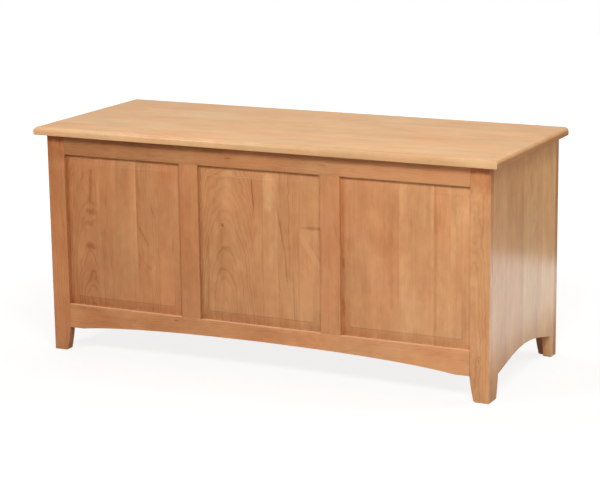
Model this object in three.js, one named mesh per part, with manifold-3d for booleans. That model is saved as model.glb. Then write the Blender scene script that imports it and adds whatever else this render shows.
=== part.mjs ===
// Blanket chest in solid wood: framed front with three raised panels and an arched bottom rail,
// solid board sides with arched feet, framed back with flat panels, a loose bottom on cleats,
// and a rounded lid on three butt hinges with two slotted stays.
// Lengths are in millimetres. X runs to the right, Y to the back and Z up. In the chest's own
// axes X is zero in the middle, Y is zero on the front face and Z is zero on the floor.
import * as THREE from 'three';
import { mergeVertices } from 'three/addons/utils/BufferGeometryUtils.js';
import Module from 'manifold-3d';

const wasm = await Module();
wasm.setup();

// Case
const caseWidth = 1118;
const caseDepth = 438.5;
const caseHeight = 524.5;
const boardThickness = 19;
const cornerEase = 2;
const jointGap = 0.2;
const cutOverrun = 3;

// Front and back frames
const stileWidth = 46;
const midStileWidth = 48;
const topRailHeight = 45.5;
const bottomRailHeight = 57.5;
const footHeight = 58;
const frontArchRise = 20.5;
const frontArchShoulder = 36;
const panelCount = 3;

// Grooves and tenons of the frames
const frontLip = 9;
const grooveWidth = 5.5;
const grooveDepth = 10;
const railTenonLength = 28;
const railTenonShoulder = 8;
const midTenonLength = 18;
const midTenonShoulder = 11;

// Raised panels
const panelThickness = 11;
const panelRaise = 3.5;
const panelStep = 1;
const panelBevelWidth = 17.5;
const panelMargin = 4.5;
const panelBackInset = 4;
const panelPlay = 1.5;

// Feet: the inner edge of each leg curves in as it goes down and is rounded at the floor
const footTaper = 8.5;
const footRound = 7.5;
const footCurveInShare = 0.33;
const footCurveUpShare = 0.45;

// Sides
const sideLegFront = 55;
const sideLegBack = 46;
const sideLegHeight = 54;
const sideArchRise = 26;
const tongueThickness = 6;
const tongueLength = 7;
const tongueStop = 20;

// Shares that shape half an arch, from its springing to its crown: across and up
const frontArchShares = [[0.23, 0.76], [0.63, 0.98]];
const sideArchShares = [[0.23, 0.24], [0.585, 1]];
const curveSteps = 16;

// Bottom
const bottomThickness = 12;
const cleatWidth = 18;
const cleatHeight = 18;
const cleatAboveFloor = 85;
const cleatEndPlay = 1;
const bottomPlay = 1;

// Lid
const lidThickness = 19;
const lidOverhang = 22.5;
const lidRound = 9.5;
const lidBottomEase = 2;
const lidRoundSteps = 6;
const lidEaseSteps = 2;
const lidSeatGap = 0.5;
const battenWidth = 45;
const battenThickness = 19;
const battenInset = 169;
const battenCount = 3;
const battenFrontPlay = 14;
const battenBackPlay = 42;
const battenEase = 2;
const battenEaseSteps = 1;

// Butt hinges
const hingeLength = 64;
const hingeInset = 159;
const hingeCount = 3;
const leafReach = 17;
const leafThickness = 2;
const barrelRadius = 3.5;
const barrelClearance = 0.4;
const knuckleCount = 5;
const knuckleGap = 0.3;
const pinRadius = 1.5;
const pinClearance = 0.1;
const pinHeadRadius = 2.4;
const pinHeadLength = 1.2;
const screwHoleRadius = 1.9;
const screwSinkRadius = 3.6;
const screwSinkDepth = 1.4;
const screwSpacing = 22;
const screwStagger = 3;
const leafScrewCount = 3;
const roundSides = 20;
const holeSides = 14;

// Lid stays: a slotted arm turns on a bracket under the lid and slides on a stud in the side.
// The bracket's pivot and the stud are the same distance from the hinge pin, so the arm turns
// half as far as the lid.
const stayRadius = 140;
const stayPivotDrop = 11;
const stayRestAngle = 13;
const lidOpenAngle = 95;
const stayWidth = 15;
const stayThickness = 2.5;
const staySlotWidth = 6.6;
const staySlotPlay = 1.5;
const stayGap = 0.4;
const studRadius = 3;
const studCollarRadius = 4.5;
const studCollarLength = 2;
const studHeadRadius = 5.5;
const studHeadLength = 2;
const studPlateRadius = 13;
const studPlateThickness = 2;
const rivetRadius = 2.5;
const rivetHeadRadius = 4.5;
const rivetHeadLength = 1.2;
const bracketThickness = 2;
const bracketLength = 44;
const bracketWidth = 18;
const bracketEarWidth = 17;

// Finishes
const lidColor = 0xe8bd92;
const stileColor = 0xc18257;
const railColor = 0xc98e5f;
const panelColor = 0xcf9a68;
const sideColor = 0xc39468;
const hiddenWoodColor = 0xd3ab7e;
const brassColor = 0xb08d4f;
const woodRoughness = 0.42;
const rawWoodRoughness = 0.6;
const brassRoughness = 0.35;

// Sizes that follow from the ones above
const halfWidth = caseWidth / 2;
const openingTop = caseHeight - topRailHeight;
const openingBottom = footHeight + bottomRailHeight;
const innerWidth = caseWidth - 2 * stileWidth;
const openingWidth = (innerWidth - (panelCount - 1) * midStileWidth) / panelCount;
const openingPitch = openingWidth + midStileWidth;
const tenonThickness = grooveWidth - 2 * jointGap;
const lidBottom = caseHeight + lidSeatGap;
const hingeSpacing = (caseWidth - 2 * hingeInset) / (hingeCount - 1);
const battenSpacing = (caseWidth - 2 * battenInset) / (battenCount - 1);
const hingeAxisY = caseDepth;
const hingeAxisZ = caseHeight + lidSeatGap / 2;
const sideBack = caseDepth - boardThickness - jointGap;
const sideFront = boardThickness + jointGap;
const innerHalfWidth = halfWidth - boardThickness;

// Positions of a row of equal pieces, spaced evenly about zero
function rowOf(count, pitch) {
  return Array.from({ length: count }, (unused, index) => (index - (count - 1) / 2) * pitch);
}

// Closed solid from a closed three.js geometry
function solid(geometry) {
  const bare = geometry.index ? geometry.toNonIndexed() : geometry.clone();
  bare.deleteAttribute('normal');
  bare.deleteAttribute('uv');
  const merged = mergeVertices(bare);
  const mesh = new wasm.Mesh({
    numProp: 3,
    vertProperties: Float32Array.from(merged.attributes.position.array),
    triVerts: Uint32Array.from(merged.index.array),
  });
  return new wasm.Manifold(mesh);
}

function box(x0, x1, y0, y1, z0, z1) {
  const geometry = new THREE.BoxGeometry(x1 - x0, y1 - y0, z1 - z0);
  geometry.translate((x0 + x1) / 2, (y0 + y1) / 2, (z0 + z1) / 2);
  return solid(geometry);
}

// Box whose X range is mirrored to the left when side is -1
function sideBox(side, x0, x1, y0, y1, z0, z1) {
  return box(Math.min(side * x0, side * x1), Math.max(side * x0, side * x1), y0, y1, z0, z1);
}

function extrude(outline, depth, basis, shift) {
  const geometry = new THREE.ExtrudeGeometry(outline, {
    depth,
    bevelEnabled: false,
    curveSegments: curveSteps,
  });
  geometry.applyMatrix4(basis);
  geometry.translate(shift.x, shift.y, shift.z);
  return solid(geometry);
}

const axisX = new THREE.Vector3(1, 0, 0);
const axisY = new THREE.Vector3(0, 1, 0);
const axisZ = new THREE.Vector3(0, 0, 1);

// Outline drawn in X and Z, pushed along Y
function extrudeY(outline, y0, y1) {
  const basis = new THREE.Matrix4().makeBasis(axisX, axisZ, axisY.clone().negate());
  return extrude(outline, y1 - y0, basis, new THREE.Vector3(0, y1, 0));
}

// Outline drawn in Y and Z, pushed along X
function extrudeX(outline, x0, x1) {
  const basis = new THREE.Matrix4().makeBasis(axisY, axisZ, axisX);
  return extrude(outline, x1 - x0, basis, new THREE.Vector3(x0, 0, 0));
}

// Outline drawn in X and Y, pushed along Z
function extrudeZ(outline, z0, z1) {
  return extrude(outline, z1 - z0, new THREE.Matrix4(), new THREE.Vector3(0, 0, z0));
}

// Round rod along X
function rodX(radius, x0, x1, y, z, sides) {
  const geometry = new THREE.CylinderGeometry(radius, radius, x1 - x0, sides);
  geometry.rotateZ(Math.PI / 2);
  geometry.translate((x0 + x1) / 2, y, z);
  return solid(geometry);
}

function joinAll(solids) {
  return solids.reduce((whole, piece) => whole.add(piece));
}

function meshFrom(name, whole, color, roughness, metalness = 0) {
  const data = whole.getMesh();
  const geometry = new THREE.BufferGeometry();
  geometry.setAttribute('position', new THREE.BufferAttribute(data.vertProperties, 3));
  geometry.setIndex(new THREE.BufferAttribute(data.triVerts, 1));
  geometry.computeVertexNormals();
  const material = new THREE.MeshStandardMaterial({ color, roughness, metalness });
  const mesh = new THREE.Mesh(geometry, material);
  mesh.name = name;
  return mesh;
}

function woodMesh(name, whole, color) {
  return meshFrom(name, whole, color, woodRoughness);
}

function brassMesh(name, whole) {
  return meshFrom(name, whole, brassColor, brassRoughness, 1);
}

// Curved inner edge of a leg, drawn upward from the floor to the leg's full width
function legEdgeUp(shape, edge, inward, height) {
  const narrow = edge + inward * footTaper;
  shape.lineTo(narrow + inward * footRound, 0);
  shape.quadraticCurveTo(narrow, 0, narrow, footRound);
  const bendX = narrow - inward * footTaper * (1 - footCurveInShare);
  const bendZ = footRound + (height - footRound) * footCurveUpShare;
  shape.quadraticCurveTo(bendX, bendZ, edge, height);
}

// The same edge drawn downward
function legEdgeDown(shape, edge, inward, height) {
  const narrow = edge + inward * footTaper;
  const bendX = narrow - inward * footTaper * (1 - footCurveInShare);
  const bendZ = footRound + (height - footRound) * footCurveUpShare;
  shape.quadraticCurveTo(bendX, bendZ, narrow, footRound);
  shape.quadraticCurveTo(narrow, 0, narrow + inward * footRound, 0);
}

// Arch from one springing point over the crown to the other, both at the same height
function archOver(shape, start, end, height, rise, shares) {
  const half = (end - start) / 2;
  const crown = start + half;
  const [[inA, upA], [inB, upB]] = shares;
  const levelA = height + rise * upA;
  const levelB = height + rise * upB;
  shape.bezierCurveTo(start + half * inA, levelA, start + half * inB, levelB, crown, height + rise);
  shape.bezierCurveTo(end - half * inB, levelB, end - half * inA, levelA, end, height);
}

// Corner stile with its foot. Local Y is zero on the frame's outer face and grows inward.
function stileSolid(side) {
  const outer = halfWidth;
  const inner = halfWidth - stileWidth;
  const plan = new THREE.Shape();
  plan.moveTo(side * inner, 0);
  plan.lineTo(side * (outer - cornerEase), 0);
  plan.quadraticCurveTo(side * outer, 0, side * outer, cornerEase);
  plan.lineTo(side * outer, boardThickness);
  plan.lineTo(side * inner, boardThickness);
  plan.closePath();

  const face = new THREE.Shape();
  face.moveTo(side * (outer + cutOverrun), 0);
  legEdgeUp(face, side * inner, side, footHeight);
  face.lineTo(side * inner, caseHeight);
  face.lineTo(side * (outer + cutOverrun), caseHeight);
  face.closePath();

  let stile = extrudeZ(plan, 0, caseHeight);
  stile = stile.intersect(extrudeY(face, -cutOverrun, boardThickness + cutOverrun));

  const grooveBack = frontLip + grooveWidth;
  const panelGroove = sideBox(
    side,
    inner - cutOverrun,
    inner + grooveDepth,
    frontLip,
    grooveBack,
    openingBottom - grooveDepth,
    openingTop + grooveDepth,
  );
  stile = stile.subtract(panelGroove);

  const mortiseEnd = inner + railTenonLength + jointGap;
  for (const [low, high] of railTenonLevels()) {
    const mortise = sideBox(
      side,
      inner - cutOverrun,
      mortiseEnd,
      frontLip,
      grooveBack,
      low - jointGap,
      high + jointGap,
    );
    stile = stile.subtract(mortise);
  }

  const slabMiddle = outer - boardThickness / 2;
  const slabGroove = sideBox(
    side,
    slabMiddle - tongueThickness / 2 - jointGap,
    slabMiddle + tongueThickness / 2 + jointGap,
    boardThickness - tongueLength,
    boardThickness + cutOverrun,
    tongueStop - jointGap,
    caseHeight - tongueStop + jointGap,
  );
  return stile.subtract(slabGroove);
}

// Lower and upper level of the tenons of the bottom and top rails
function railTenonLevels() {
  return [
    [footHeight + railTenonShoulder, openingBottom - grooveDepth],
    [openingTop + grooveDepth, caseHeight - railTenonShoulder],
  ];
}

function railTenons(level) {
  const [low, high] = level;
  const start = innerWidth / 2 - jointGap - cutOverrun;
  const end = innerWidth / 2 + railTenonLength;
  const front = frontLip + jointGap;
  return [-1, 1].map((side) => sideBox(side, start, end, front, front + tenonThickness, low, high));
}

// Groove for the panels along a rail, with a deeper mortise for each mid stile
function railPockets(edge, inward) {
  const grooveEnd = edge + inward * grooveDepth;
  const mortiseEnd = edge + inward * (midTenonLength + jointGap);
  const outside = edge - inward * cutOverrun;
  const back = frontLip + grooveWidth;
  const halfLength = innerWidth / 2 + cutOverrun;
  const pocket = (x0, x1, end) =>
    box(x0, x1, frontLip, back, Math.min(outside, end), Math.max(outside, end));
  const pockets = [pocket(-halfLength, halfLength, grooveEnd)];
  const halfTenon = midStileWidth / 2 - midTenonShoulder + jointGap;
  for (const x of rowOf(panelCount - 1, openingPitch)) {
    pockets.push(pocket(x - halfTenon, x + halfTenon, mortiseEnd));
  }
  return joinAll(pockets);
}

function topRailSolid() {
  const half = innerWidth / 2 - jointGap;
  let rail = box(-half, half, 0, boardThickness, openingTop, caseHeight);
  rail = rail.subtract(railPockets(openingTop, 1));
  return joinAll([rail, ...railTenons(railTenonLevels()[1])]);
}

// Top rail of the back frame, let in for the case leaves and barrels of the hinges
function backTopRailSolid() {
  const pockets = hingePositions().map((x) =>
    hingePocket(-1).rotate([0, 0, 180]).translate([x, 0, hingeAxisZ]),
  );
  return topRailSolid().subtract(joinAll(pockets));
}

// Bottom rail, straight when archRise is zero
function bottomRailSolid(archRise) {
  const half = innerWidth / 2 - jointGap;
  const springing = innerWidth / 2 - frontArchShoulder;
  const face = new THREE.Shape();
  face.moveTo(-half, footHeight);
  if (archRise > 0) {
    face.lineTo(-springing, footHeight);
    archOver(face, -springing, springing, footHeight, archRise, frontArchShares);
  }
  face.lineTo(half, footHeight);
  face.lineTo(half, openingBottom);
  face.lineTo(-half, openingBottom);
  face.closePath();
  let rail = extrudeY(face, 0, boardThickness);
  rail = rail.subtract(railPockets(openingBottom, -1));
  return joinAll([rail, ...railTenons(railTenonLevels()[0])]);
}

// Mid stile between the rails, grooved on both edges, drawn about its own middle in X
function midStileSolid() {
  const half = midStileWidth / 2;
  const back = frontLip + grooveWidth;
  const low = openingBottom + jointGap;
  const high = openingTop - jointGap;
  let stile = box(-half, half, 0, boardThickness, low, high);
  for (const side of [-1, 1]) {
    const groove = sideBox(
      side,
      half - grooveDepth,
      half + cutOverrun,
      frontLip,
      back,
      low - cutOverrun,
      high + cutOverrun,
    );
    stile = stile.subtract(groove);
  }
  const tenonHalf = half - midTenonShoulder;
  const front = frontLip + jointGap;
  const tenon = box(
    -tenonHalf,
    tenonHalf,
    front,
    front + tenonThickness,
    openingBottom - midTenonLength,
    openingTop + midTenonLength,
  );
  return stile.add(tenon);
}

// Rectangle about the middle of an opening, reaching past its edges by margin
function openingOutline(margin) {
  const half = openingWidth / 2 + margin;
  const low = openingBottom - margin;
  const high = openingTop + margin;
  const outline = new THREE.Shape();
  outline.moveTo(-half, low);
  outline.lineTo(half, low);
  outline.lineTo(half, high);
  outline.lineTo(-half, high);
  outline.closePath();
  return outline;
}

// Flat panel held in the grooves, drawn about its own middle in X
function flatPanelSolid() {
  const front = frontLip + jointGap;
  return extrudeY(openingOutline(grooveDepth - panelPlay), front, front + tenonThickness);
}

// Raised panel: a flat margin, a bevel, a small step and the raised field. The back stands out
// too, stepped down to the tongue near its edges.
function raisedPanelSolid() {
  const tongueFront = frontLip + jointGap;
  const fieldFront = tongueFront - panelRaise;
  const fieldBack = fieldFront + panelThickness;
  const fieldInset = panelMargin + panelBevelWidth;
  const slopeHeight = panelRaise - panelStep;
  const bevelled = new THREE.ExtrudeGeometry(openingOutline(-panelMargin), {
    depth: tenonThickness / 2,
    bevelEnabled: true,
    bevelThickness: slopeHeight,
    bevelSize: panelBevelWidth,
    bevelOffset: -panelBevelWidth,
    bevelSegments: 1,
  });
  const basis = new THREE.Matrix4().makeBasis(axisX, axisZ, axisY.clone().negate());
  bevelled.applyMatrix4(basis);
  bevelled.translate(0, tongueFront + tenonThickness / 2, 0);
  const backHalf = extrudeY(openingOutline(0), tongueFront + tenonThickness / 2, caseDepth);
  const bevel = solid(bevelled).subtract(backHalf);
  const field = extrudeY(openingOutline(-fieldInset), fieldFront, tongueFront + tenonThickness);
  const back = extrudeY(openingOutline(-panelBackInset), tongueFront, fieldBack);
  return joinAll([flatPanelSolid(), bevel, field, back]);
}

// Frame of two stiles, two rails, mid stiles and panels
function frame(names, topRail, bottomRail, panel) {
  const group = new THREE.Group();
  group.add(woodMesh(names.leftStile, stileSolid(-1), stileColor));
  group.add(woodMesh(names.rightStile, stileSolid(1), stileColor));
  group.add(woodMesh(names.topRail, topRail, railColor));
  group.add(woodMesh(names.bottomRail, bottomRail, railColor));
  rowOf(panelCount - 1, openingPitch).forEach((x, index) => {
    const mesh = woodMesh(names.midStiles[index], midStileSolid(), stileColor);
    mesh.position.x = x;
    group.add(mesh);
  });
  rowOf(panelCount, openingPitch).forEach((x, index) => {
    const mesh = woodMesh(names.panels[index], panel, panelColor);
    mesh.position.x = x;
    group.add(mesh);
  });
  return group;
}

function frontFrame() {
  const names = {
    leftStile: 'front_left_stile',
    rightStile: 'front_right_stile',
    topRail: 'front_top_rail',
    bottomRail: 'front_bottom_rail',
    midStiles: ['front_mid_stile_left', 'front_mid_stile_right'],
    panels: ['front_panel_left', 'front_panel_middle', 'front_panel_right'],
  };
  return frame(names, topRailSolid(), bottomRailSolid(frontArchRise), raisedPanelSolid());
}

// The back frame is turned about, so its own left is the chest's right
function backFrame() {
  const names = {
    leftStile: 'back_right_stile',
    rightStile: 'back_left_stile',
    topRail: 'back_top_rail',
    bottomRail: 'back_bottom_rail',
    midStiles: ['back_mid_stile_right', 'back_mid_stile_left'],
    panels: ['back_panel_right', 'back_panel_middle', 'back_panel_left'],
  };
  const group = frame(names, backTopRailSolid(), bottomRailSolid(0), flatPanelSolid());
  group.rotation.z = Math.PI;
  group.position.y = caseDepth;
  return group;
}

// Side board with arched feet and a tongue on each upright edge
function sideSolid(side) {
  const archStart = sideLegFront;
  const archEnd = caseDepth - sideLegBack;
  const outline = new THREE.Shape();
  outline.moveTo(sideFront, 0);
  legEdgeUp(outline, archStart, -1, sideLegHeight);
  archOver(outline, archStart, archEnd, sideLegHeight, sideArchRise, sideArchShares);
  legEdgeDown(outline, archEnd, 1, sideLegHeight);
  outline.lineTo(sideBack, 0);
  outline.lineTo(sideBack, caseHeight);
  outline.lineTo(sideFront, caseHeight);
  outline.closePath();
  const inner = Math.min(side * innerHalfWidth, side * halfWidth);
  const board = extrudeX(outline, inner, inner + boardThickness);

  const middle = halfWidth - boardThickness / 2;
  const reach = tongueLength - 2 * jointGap;
  const tongue = (y0, y1) =>
    sideBox(
      side,
      middle - tongueThickness / 2,
      middle + tongueThickness / 2,
      y0,
      y1,
      tongueStop,
      caseHeight - tongueStop,
    );
  const frontTongue = tongue(sideFront - reach, sideFront + cutOverrun);
  const backTongue = tongue(sideBack - cutOverrun, sideBack + reach);
  return joinAll([board, frontTongue, backTongue]);
}

// Bottom board and the four cleats that carry it
function bottomGroup() {
  const group = new THREE.Group();
  const frontInside = boardThickness;
  const backInside = caseDepth - boardThickness;
  const cleatTop = cleatAboveFloor + cleatHeight;
  const longHalf = innerHalfWidth - cleatEndPlay;
  const longCleat = (y0) => box(-longHalf, longHalf, y0, y0 + cleatWidth, cleatAboveFloor, cleatTop);
  const frontCleat = longCleat(frontInside + jointGap);
  const backCleat = longCleat(backInside - jointGap - cleatWidth);
  group.add(meshFrom('bottom_cleat_front', frontCleat, hiddenWoodColor, rawWoodRoughness));
  group.add(meshFrom('bottom_cleat_back', backCleat, hiddenWoodColor, rawWoodRoughness));

  const shortFront = frontInside + jointGap + cleatWidth + cleatEndPlay;
  const shortBack = backInside - jointGap - cleatWidth - cleatEndPlay;
  const shortOuter = innerHalfWidth - jointGap;
  const shortInner = shortOuter - cleatWidth;
  for (const [side, name] of [[-1, 'bottom_cleat_left'], [1, 'bottom_cleat_right']]) {
    const cleat = sideBox(
      side,
      shortInner,
      shortOuter,
      shortFront,
      shortBack,
      cleatAboveFloor,
      cleatTop,
    );
    group.add(meshFrom(name, cleat, hiddenWoodColor, rawWoodRoughness));
  }

  const boardHalf = innerHalfWidth - bottomPlay;
  const boardLow = cleatTop + jointGap;
  const board = box(
    -boardHalf,
    boardHalf,
    frontInside + bottomPlay,
    backInside - bottomPlay,
    boardLow,
    boardLow + bottomThickness,
  );
  group.add(meshFrom('bottom_board', board, hiddenWoodColor, rawWoodRoughness));
  return group;
}

// Slab drawn about its own middle, with rounded edges above and below
function roundedSlab(width, depth, thickness, round, roundSteps, ease, easeSteps) {
  const slab = (inset, steps, low, high) => {
    const halfX = width / 2;
    const halfY = depth / 2;
    const outline = new THREE.Shape();
    outline.moveTo(-halfX, -halfY);
    outline.lineTo(halfX, -halfY);
    outline.lineTo(halfX, halfY);
    outline.lineTo(-halfX, halfY);
    outline.closePath();
    const geometry = new THREE.ExtrudeGeometry(outline, {
      depth: high - low - 2 * inset,
      bevelEnabled: true,
      bevelThickness: inset,
      bevelSize: inset,
      bevelOffset: -inset,
      bevelSegments: steps,
    });
    geometry.translate(0, 0, low + inset);
    return solid(geometry);
  };
  const above = slab(round, roundSteps, -thickness, thickness);
  const below = slab(ease, easeSteps, 0, 2 * thickness);
  return above.intersect(below);
}

function hingePositions() {
  return rowOf(hingeCount, hingeSpacing);
}

// Room for the leaf and the barrel of one hinge, in the axes of the hinge pin.
// The leaf lies above the pin when up is 1 and below it when up is -1.
function hingePocket(up) {
  const half = hingeLength / 2 + jointGap;
  const far = up * (lidSeatGap / 2 + leafThickness + jointGap);
  const [low, high] = [Math.min(0, far), Math.max(0, far)];
  const leafRoom = box(-half, half, -leafReach - jointGap, cutOverrun, low, high);
  const headRoom = half + pinHeadLength + jointGap;
  const barrelRoom = rodX(barrelRadius + barrelClearance, -headRoom, headRoom, 0, 0, roundSides);
  return leafRoom.add(barrelRoom);
}

// Knuckle ranges along the barrel: even ones belong to the case leaf, odd ones to the lid leaf
function knuckleRange(index) {
  const length = hingeLength / knuckleCount;
  const start = -hingeLength / 2 + index * length;
  return [start + knuckleGap / 2, start + length - knuckleGap / 2];
}

// Countersunk hole through a leaf, opening towards the other leaf
function screwHole(x, y, up) {
  const face = lidSeatGap / 2;
  const back = face + leafThickness + cutOverrun;
  const profile = [
    new THREE.Vector2(0, -cutOverrun),
    new THREE.Vector2(screwSinkRadius, -cutOverrun),
    new THREE.Vector2(screwSinkRadius, face),
    new THREE.Vector2(screwHoleRadius, face + screwSinkDepth),
    new THREE.Vector2(screwHoleRadius, back),
    new THREE.Vector2(0, back),
  ];
  const geometry = new THREE.LatheGeometry(profile, holeSides);
  geometry.rotateX(up * Math.PI / 2);
  geometry.translate(x, y, 0);
  return solid(geometry);
}

function hingeLeafSolid(up) {
  const half = hingeLength / 2;
  const near = up * lidSeatGap / 2;
  const far = near + up * leafThickness;
  const [low, high] = [Math.min(near, far), Math.max(near, far)];
  const own = up < 0 ? 0 : 1;
  let leaf = box(-half, half, -leafReach, 0, low, high);
  for (let index = 0; index < knuckleCount; index += 1) {
    const [start, end] = knuckleRange(index);
    if (index % 2 === own) {
      leaf = leaf.add(rodX(barrelRadius, start, end, 0, 0, roundSides));
    } else {
      const reach = barrelRadius + barrelClearance;
      leaf = leaf.subtract(rodX(reach, start - knuckleGap, end + knuckleGap, 0, 0, roundSides));
    }
  }
  const bore = rodX(pinRadius + pinClearance, -half - cutOverrun, half + cutOverrun, 0, 0, roundSides);
  leaf = leaf.subtract(bore);
  const holeRow = -(leafReach + barrelRadius) / 2;
  const holes = rowOf(leafScrewCount, screwSpacing).map((x, index) => {
    const stagger = index === 1 ? -screwStagger : screwStagger / 2;
    return screwHole(x, holeRow + stagger, up);
  });
  return leaf.subtract(joinAll(holes));
}

function hingePinSolid() {
  const half = hingeLength / 2;
  const shaft = rodX(pinRadius, -half - pinHeadLength / 2, half + pinHeadLength / 2, 0, 0, roundSides);
  const heads = [-1, 1].map((side) => {
    const near = side * (half + jointGap);
    const far = side * (half + jointGap + pinHeadLength);
    return rodX(pinHeadRadius, Math.min(near, far), Math.max(near, far), 0, 0, roundSides);
  });
  return joinAll([shaft, ...heads]);
}

// Lid slab with its hinge pockets, in the chest's own axes
function lidSolid() {
  const width = caseWidth + 2 * lidOverhang;
  const depth = caseDepth + lidOverhang;
  const overlong = depth + lidRound + cutOverrun;
  const slab = roundedSlab(
    width,
    overlong,
    lidThickness,
    lidRound,
    lidRoundSteps,
    lidBottomEase,
    lidEaseSteps,
  );
  let lid = slab.translate([0, overlong / 2 - lidOverhang, lidBottom]);
  const beyond = box(-width, width, caseDepth, caseDepth + overlong, 0, 2 * caseHeight);
  lid = lid.subtract(beyond);
  for (const x of hingePositions()) {
    lid = lid.subtract(hingePocket(1).translate([x, hingeAxisY, hingeAxisZ]));
  }
  return lid;
}

// Batten screwed across the underside of the lid, drawn with its top face at zero
function battenSolid() {
  const front = boardThickness + battenFrontPlay;
  const back = caseDepth - boardThickness - battenBackPlay;
  const flat = roundedSlab(
    battenWidth,
    back - front,
    battenThickness,
    jointGap,
    battenEaseSteps,
    battenEase,
    battenEaseSteps,
  );
  return flat.translate([0, (front + back) / 2, -battenThickness]);
}

// Place of the stay's pivot and stud, measured from the hinge pin in Y and Z
function stayPoints() {
  const drop = lidSeatGap / 2 - stayPivotDrop;
  const pivotAngle = Math.asin(-drop / stayRadius);
  const studAngle = pivotAngle + THREE.MathUtils.degToRad(stayRestAngle);
  const at = (angle) => new THREE.Vector2(
    hingeAxisY - stayRadius * Math.cos(angle),
    hingeAxisZ - stayRadius * Math.sin(angle),
  );
  return { pivot: at(pivotAngle), stud: at(studAngle) };
}

// Distance between the pivot and the stud when the lid is opened by an angle in degrees
function staySpan(angle) {
  const halfTurn = THREE.MathUtils.degToRad((stayRestAngle + angle) / 2);
  return 2 * stayRadius * Math.sin(halfTurn);
}

// Arm drawn in Y and Z about its pivot, reaching down from it, then turned to point at the stud
function stayArmSolid() {
  const half = stayWidth / 2;
  const slotHalf = staySlotWidth / 2;
  const slotTop = -(staySpan(0) - staySlotPlay);
  const slotBottom = -(staySpan(lidOpenAngle) + staySlotPlay);
  const end = slotBottom - slotHalf;
  const outline = new THREE.Shape();
  outline.moveTo(-half, 0);
  outline.lineTo(-half, end);
  outline.absarc(0, end, half, Math.PI, 2 * Math.PI, false);
  outline.lineTo(half, 0);
  outline.absarc(0, 0, half, 0, Math.PI, false);
  const slot = new THREE.Path();
  slot.moveTo(-slotHalf, slotTop);
  slot.absarc(0, slotTop, slotHalf, Math.PI, 0, true);
  slot.lineTo(slotHalf, slotBottom);
  slot.absarc(0, slotBottom, slotHalf, 0, -Math.PI, true);
  slot.closePath();
  const hole = new THREE.Path();
  hole.absarc(0, 0, rivetRadius + pinClearance, 0, 2 * Math.PI, true);
  outline.holes.push(slot, hole);
  return extrudeX(outline, -stayThickness / 2, stayThickness / 2);
}

// Turned part along X from a list of [radius, length] steps, starting at zero and going inward
function steppedPin(steps, inward) {
  const profile = [new THREE.Vector2(0, 0)];
  let reach = 0;
  for (const [radius, length] of steps) {
    profile.push(new THREE.Vector2(radius, reach));
    reach += length;
    profile.push(new THREE.Vector2(radius, reach));
  }
  profile.push(new THREE.Vector2(0, reach));
  const geometry = new THREE.LatheGeometry(profile, roundSides);
  geometry.rotateZ(inward * -Math.PI / 2);
  return solid(geometry);
}

// Stay on one side: stud plate on the side board, arm, bracket under the lid and its rivet
function stayMeshes(side, prefix) {
  const inward = -side;
  const { pivot, stud } = stayPoints();
  const armOuter = innerHalfWidth - jointGap - studPlateThickness - studCollarLength - stayGap;
  const armInner = armOuter - stayThickness;
  const earOuter = armInner - stayGap;

  const studSteps = [
    [studPlateRadius, studPlateThickness],
    [studCollarRadius, studCollarLength],
    [studRadius, stayThickness + 2 * stayGap],
    [studHeadRadius, studHeadLength],
  ];
  const studMesh = brassMesh(`${prefix}_stay_stud`, steppedPin(studSteps, inward));
  studMesh.position.set(side * (innerHalfWidth - jointGap), stud.x, stud.y);

  const arm = brassMesh(`${prefix}_stay_arm`, stayArmSolid());
  arm.position.set(side * (armOuter - stayThickness / 2), pivot.x, pivot.y);
  const towards = stud.clone().sub(pivot);
  arm.rotation.x = Math.atan2(towards.x, -towards.y);

  const rivetSteps = [
    [rivetHeadRadius, rivetHeadLength],
    [rivetRadius, stayGap / 2 + stayThickness + stayGap + bracketThickness + stayGap / 2],
    [rivetHeadRadius, rivetHeadLength],
  ];
  const rivet = brassMesh(`${prefix}_stay_rivet`, steppedPin(rivetSteps, inward));
  rivet.position.set(side * (armOuter + stayGap / 2 + rivetHeadLength), pivot.x, pivot.y);

  const bracket = brassMesh(`${prefix}_stay_bracket`, stayBracketSolid(side, pivot, earOuter));
  return { fixed: [studMesh], moving: [arm, rivet, bracket] };
}

// Angle bracket: a plate under the lid and a rounded ear that holds the rivet
function stayBracketSolid(side, pivot, earOuter) {
  const plateTop = lidBottom - jointGap;
  const plateLow = plateTop - bracketThickness;
  const half = bracketLength / 2;
  const earHalf = bracketEarWidth / 2;
  const plate = sideBox(
    side,
    earOuter - bracketWidth,
    earOuter,
    pivot.x - half,
    pivot.x + half,
    plateLow,
    plateTop,
  );
  const outline = new THREE.Shape();
  outline.moveTo(pivot.x - earHalf, plateLow + bracketThickness / 2);
  outline.lineTo(pivot.x - earHalf, pivot.y);
  outline.absarc(pivot.x, pivot.y, earHalf, Math.PI, 2 * Math.PI, false);
  outline.lineTo(pivot.x + earHalf, plateLow + bracketThickness / 2);
  outline.closePath();
  const hole = new THREE.Path();
  hole.absarc(pivot.x, pivot.y, rivetRadius + pinClearance, 0, 2 * Math.PI, true);
  outline.holes.push(hole);
  const x0 = Math.min(side * (earOuter - bracketThickness), side * earOuter);
  return plate.add(extrudeX(outline, x0, x0 + bracketThickness));
}

function caseGroup() {
  const group = new THREE.Group();
  group.add(frontFrame(), backFrame());
  group.add(woodMesh('left_side', sideSolid(-1), sideColor));
  group.add(woodMesh('right_side', sideSolid(1), sideColor));
  group.add(bottomGroup());
  return group;
}

function lidGroup() {
  const group = new THREE.Group();
  group.add(woodMesh('lid', lidSolid(), lidColor));
  rowOf(battenCount, battenSpacing).forEach((x, index) => {
    const name = ['lid_batten_left', 'lid_batten_middle', 'lid_batten_right'][index];
    const batten = woodMesh(name, battenSolid(), lidColor);
    batten.position.set(x, 0, lidBottom - jointGap);
    group.add(batten);
  });
  return group;
}

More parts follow.
